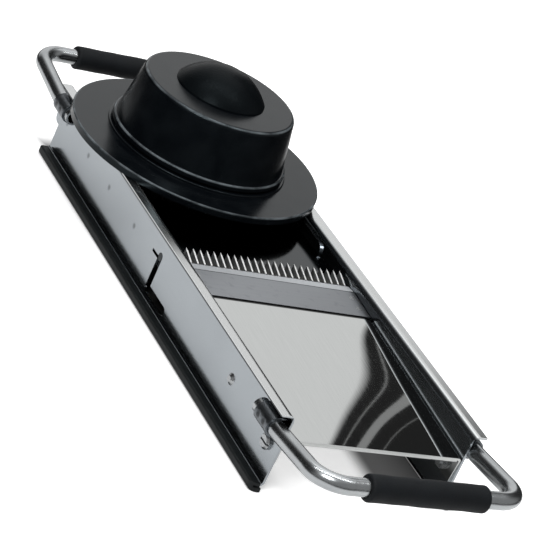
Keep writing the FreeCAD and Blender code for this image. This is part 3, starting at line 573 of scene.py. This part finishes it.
# Painted highlight: a grey line along each proud edge, broken up by the scuff noise.
for edge_radius, edge_height in proud_edges:
    edge = (edge_radius * MM, 0.0, edge_height * MM)
    off = add(tree, "VectorMath", {0: section, 1: edge}, "Value", operation="DISTANCE")
    near = add(tree, "MapRange", {"Value": off, **edge_fade})
    near = add(tree, "Math", {0: near, 1: worn}, operation="MULTIPLY")
    tone = add(tree, "MixRGB", {"Fac": near, "Color1": tone, "Color2": edge_tone})
rough = add(tree, "MapRange", {"Value": rub, "To Min": plastic_rough[0], "To Max": plastic_rough[1]})
relief = add(tree, "Bump", {"Height": erosion, "Strength": erosion_relief, "Distance": erosion_rise})
connect(tree, shader, Base_Color=tone, Roughness=rough, Normal=relief)
dress(moulded_plastic, "pusher_base", "plunger_cap", "plunger_stem", "pin_plate", "thickness_knob")
dress(turned_steel, "food_pins", "stem_screw")

# Dome
# The lens-shaped button on top of the crown, where the palm presses. It is moulded on its own, with
# a textured face, and cemented down.

# Textured ABS: the same black with a coarser pebbled skin for grip, of about 0.9 mm, which breaks
# up the gloss so that the middle looks darker than the crown.
pebbled_black = linear("#050709")
pebbled_worn = linear("#0b0e10")
pebbled_rough = (0.28, 0.4)
pebble_size = 0.9 * MM
pebble_rise = 0.15 * MM
pebble_relief = 0.5

textured_plastic, tree, shader, place = new_finish(
    "abs_moulded_pebbled", IOR=1.5, Specular_IOR_Level=0.05, Specular_Tint=plastic_gleam
)
pebble_inputs = {"Vector": place, "Scale": 1 / pebble_size}
pebbles = add(tree, "TexVoronoi", pebble_inputs, "Distance", feature="SMOOTH_F1")
wear = add(tree, "TexNoise", {"Vector": place, "Scale": 1 / scuff_size, "Detail": 4.0})
tone = add(tree, "MixRGB", {"Fac": wear, "Color1": pebbled_black, "Color2": pebbled_worn})
rough = add(tree, "MapRange", {"Value": wear, "To Min": pebbled_rough[0], "To Max": pebbled_rough[1]})
relief = add(tree, "Bump", {"Height": pebbles, "Strength": pebble_relief, "Distance": pebble_rise})
connect(tree, shader, Base_Color=tone, Roughness=rough, Normal=relief)
dress(textured_plastic, "plunger_dome")

# Floor
# A plain pale floor that glows for the camera and keeps the slicer's shadow. It is dark under the
# feed half, which no light reaches, and shaded under the right side of the deck, away from the key
# lamp. Metal sees it as a white sheet round the slicer with a dim room past it.
white = linear("#ffffff")
floor_pale = linear("#ececec")
floor_shaded = linear("#2c2c2c")
floor_size = 8.0
floor_drop = -0.2 * MM
floor_glow = 0.65
glossy_share = 0.3
contact_reach = 0.02
contact_samples = 8
under_middle = (0.0, 0.052, 0.0)
under_half = (0.0515, 0.112)
under_fade = {"From Min": 0.9, "From Max": 1.05}
deck_shade_from = (0.0110, -0.146)
deck_shade_full = (0.0250, -0.138)
deck_shade_end = (0.0515, 0.05)
deck_shade = 0.9
sheet_half = (0.15, 0.28, 1.0)
sheet_fade = 0.08
dim_level = 0.025

floor_mesh = bpy.data.meshes.new("floor")
half = floor_size / 2
floor_corners = [(-half, -half, 0), (half, -half, 0), (half, half, 0), (-half, half, 0)]
floor_mesh.from_pydata(floor_corners, [], [(0, 1, 2, 3)])
floor = bpy.data.objects.new("floor", floor_mesh)
bpy.context.scene.collection.objects.link(floor)
floor.location.z = floor_drop

floor_paint = bpy.data.materials.new("pale_floor")
floor_paint.use_nodes = True
tree = floor_paint.node_tree
tree.nodes.clear()
place = add(tree, "TexCoord", {}, "Object")
rays = add(tree, "LightPath", {}, None).outputs
glossy = rays["Is Glossy Ray"]
seen_by = {0: glossy, 1: glossy_share, 2: rays["Is Camera Ray"]}
seen = add(tree, "Math", seen_by, operation="MULTIPLY_ADD")
open_floor = add(
    tree, "AmbientOcclusion", {"Distance": contact_reach}, "AO", samples=contact_samples
)
glow = add(tree, "Math", {0: seen, 1: open_floor}, operation="MULTIPLY")

away = add(tree, "VectorMath", {0: place, 1: under_middle}, operation="SUBTRACT")
away = add(tree, "VectorMath", {0: away}, operation="ABSOLUTE")
away = add(tree, "SeparateXYZ", {"Vector": away}, None).outputs
across = add(tree, "Math", {0: away["X"], 1: under_half[0]}, operation="DIVIDE")
along = add(tree, "Math", {0: away["Y"], 1: under_half[1]}, operation="DIVIDE")
outside = add(tree, "Math", {0: across, 1: along}, operation="MAXIMUM")
outside = add(tree, "MapRange", {"Value": outside, **under_fade})

spot = add(tree, "SeparateXYZ", {"Vector": place}, None).outputs
in_shade = deck_shade
for side, begins, full, ends in zip("XY", deck_shade_from, deck_shade_full, deck_shade_end):
    short_of = add(tree, "Math", {0: spot[side], 1: ends}, operation="LESS_THAN")
    in_shade = add(tree, "Math", {0: in_shade, 1: short_of}, operation="MULTIPLY")
    fade = {"Value": spot[side], "From Min": begins, "From Max": full}
    within = add(tree, "MapRange", fade, interpolation_type="SMOOTHSTEP")
    in_shade = add(tree, "Math", {0: in_shade, 1: within}, operation="MULTIPLY")
clear = add(tree, "Math", {0: 1.0, 1: in_shade}, operation="SUBTRACT")
outside = add(tree, "Math", {0: outside, 1: clear}, operation="MULTIPLY")

glow = add(tree, "Math", {0: glow, 1: outside}, operation="MULTIPLY")
glow = add(tree, "Math", {0: glow, 1: floor_glow}, operation="MULTIPLY")
tone = add(tree, "MixRGB", {"Fac": outside, "Color1": floor_shaded, "Color2": floor_pale})
paint = add(tree, "BsdfDiffuse", {"Color": tone})
lift = add(tree, "Emission", {"Color": white, "Strength": glow})
lit_floor = add(tree, "AddShader", {0: paint, 1: lift})

past = add(tree, "VectorMath", {0: place}, operation="ABSOLUTE")
past = add(tree, "VectorMath", {0: past, 1: sheet_half}, operation="SUBTRACT")
past = add(tree, "SeparateXYZ", {"Vector": past}, None).outputs
past = add(tree, "Math", {0: past["X"], 1: past["Y"]}, operation="MAXIMUM")
past = add(tree, "MapRange", {"Value": past, "From Max": sheet_fade})
past = add(tree, "Math", {0: past, 1: glossy}, operation="MULTIPLY")
dark = add(tree, "Emission", {"Color": white, "Strength": dim_level})
surface = add(tree, "MixShader", {0: past, 1: lit_floor, 2: dark})
add(tree, "OutputMaterial", {"Surface": surface}, None)
floor_mesh.materials.append(floor_paint)

# World
# Plain even light. Metal sees a dim room instead, with a white card and a few slats behind the
# slicer, a grey wall behind the camera and a ceiling, which give polished steel its dark and bright
# streaks. Bearings are in degrees from the slicer's far end, and a slat has its half width and level.
fill_level = 0.45
card_right = math.radians(40.7)
card_right_blur = math.radians(0.1)
card_left = math.radians(-12.0)
card_left_blur = math.radians(10.0)
slats = ((41.08, 0.02, 0.3), (41.62, 0.14, 0.35), (42.3, 0.02, 0.2))
back_fade = {"From Min": math.radians(75.0), "From Max": math.radians(105.0), "To Max": 0.35}
ceiling_fade = {"From Min": 0.62, "From Max": 0.8, "To Max": 0.5}

world = bpy.data.worlds.new("studio")
world.use_nodes = True
bpy.context.scene.world = world
tree = world.node_tree
tree.nodes.clear()
rays = add(tree, "LightPath", {}, None).outputs
sight = add(tree, "TexCoord", {}, "Generated")
sight = add(tree, "SeparateXYZ", {"Vector": sight}, None).outputs
bearing = add(tree, "Math", {0: sight["X"], 1: sight["Y"]}, operation="ARCTAN2")
right_span = {"From Min": card_right + card_right_blur, "From Max": card_right - card_right_blur}
right_of = add(tree, "MapRange", {"Value": bearing, **right_span})
left_span = {"From Min": card_left - card_left_blur, "From Max": card_left + card_left_blur}
left_of = add(tree, "MapRange", {"Value": bearing, **left_span})
card = add(tree, "Math", {0: right_of, 1: left_of}, operation="MULTIPLY")
for slat, slat_half, slat_level in slats:
    slat_span = {0: bearing, 1: math.radians(slat), 2: math.radians(slat_half)}
    there = add(tree, "Math", slat_span, operation="COMPARE")
    card = add(tree, "Math", {0: there, 1: slat_level, 2: card}, operation="MULTIPLY_ADD")
ceiling = add(tree, "MapRange", {"Value": sight["Z"], **ceiling_fade})
turned_away = add(tree, "Math", {0: bearing}, operation="ABSOLUTE")
back = add(tree, "MapRange", {"Value": turned_away, **back_fade})
above = add(tree, "Math", {0: ceiling, 1: back}, operation="MAXIMUM")
bright = add(tree, "Math", {0: card, 1: above}, operation="MAXIMUM")
room = add(tree, "MapRange", {"Value": bright, "To Min": dim_level, "To Max": 1.0})
lit_by = {"Value": rays["Is Glossy Ray"], "To Min": fill_level, "To Max": room}
lit = add(tree, "MapRange", lit_by)
seen_by = {0: rays["Is Camera Ray"], 1: rays["Is Transmission Ray"]}
seen = add(tree, "Math", seen_by, operation="MAXIMUM")
strength = add(tree, "MapRange", {"Value": seen, "To Min": lit, "To Max": 1.0})
sky = add(tree, "Background", {"Color": white, "Strength": strength})
add(tree, "OutputWorld", {"Surface": sky}, None)

# Lamps
# A soft key on the camera's left, a wide lamp above and a long strip overhead that draws the
# highlights along the tubes. A lamp without a turn of its own points at the slicer.
strip_turn = math.radians(-35.2)
lamps = (
    ("key", (-0.9, -0.7, 1.3), 0.6, 0.6, 14.0, None),
    ("top", (0.3, 0.5, 1.5), 1.2, 1.2, 4.0, None),
    ("strip", (0.0, 0.0, 1.45), 1.7, 0.06, 7.0, strip_turn),
)
for name, lamp_place, length, width, power, turn in lamps:
    lamp = bpy.data.lights.new(name, "AREA")
    lamp.shape = "RECTANGLE"
    lamp.size = length
    lamp.size_y = width
    lamp.energy = power
    holder = bpy.data.objects.new(name, lamp)
    holder.location = lamp_place
    if turn is None:
        holder.rotation_euler = (-Vector(lamp_place)).to_track_quat("-Z", "Y").to_euler()
    else:
        holder.rotation_euler.z = turn
    bpy.context.scene.collection.objects.link(holder)

# Camera
# The photograph's viewpoint: a long lens, from the near left and above, rolled to the photograph's
# tilt.
camera_place = Vector((-0.6700, -0.9547, 0.5579))
camera_aim = Vector((0.0058, -0.0164, 0.0350))
camera_roll = math.radians(25.0)
lens = bpy.data.cameras.new("camera")
lens.sensor_width = 36.0
lens.lens = 164.5
camera = bpy.data.objects.new("camera", lens)
camera.location = camera_place
level = (camera_aim - camera_place).to_track_quat("-Z", "Y")
camera.rotation_mode = "QUATERNION"
camera.rotation_quaternion = level @ Quaternion((0, 0, 1), camera_roll)
bpy.context.scene.collection.objects.link(camera)
bpy.context.scene.camera = camera
bpy.context.scene.view_settings.view_transform = "Standard"
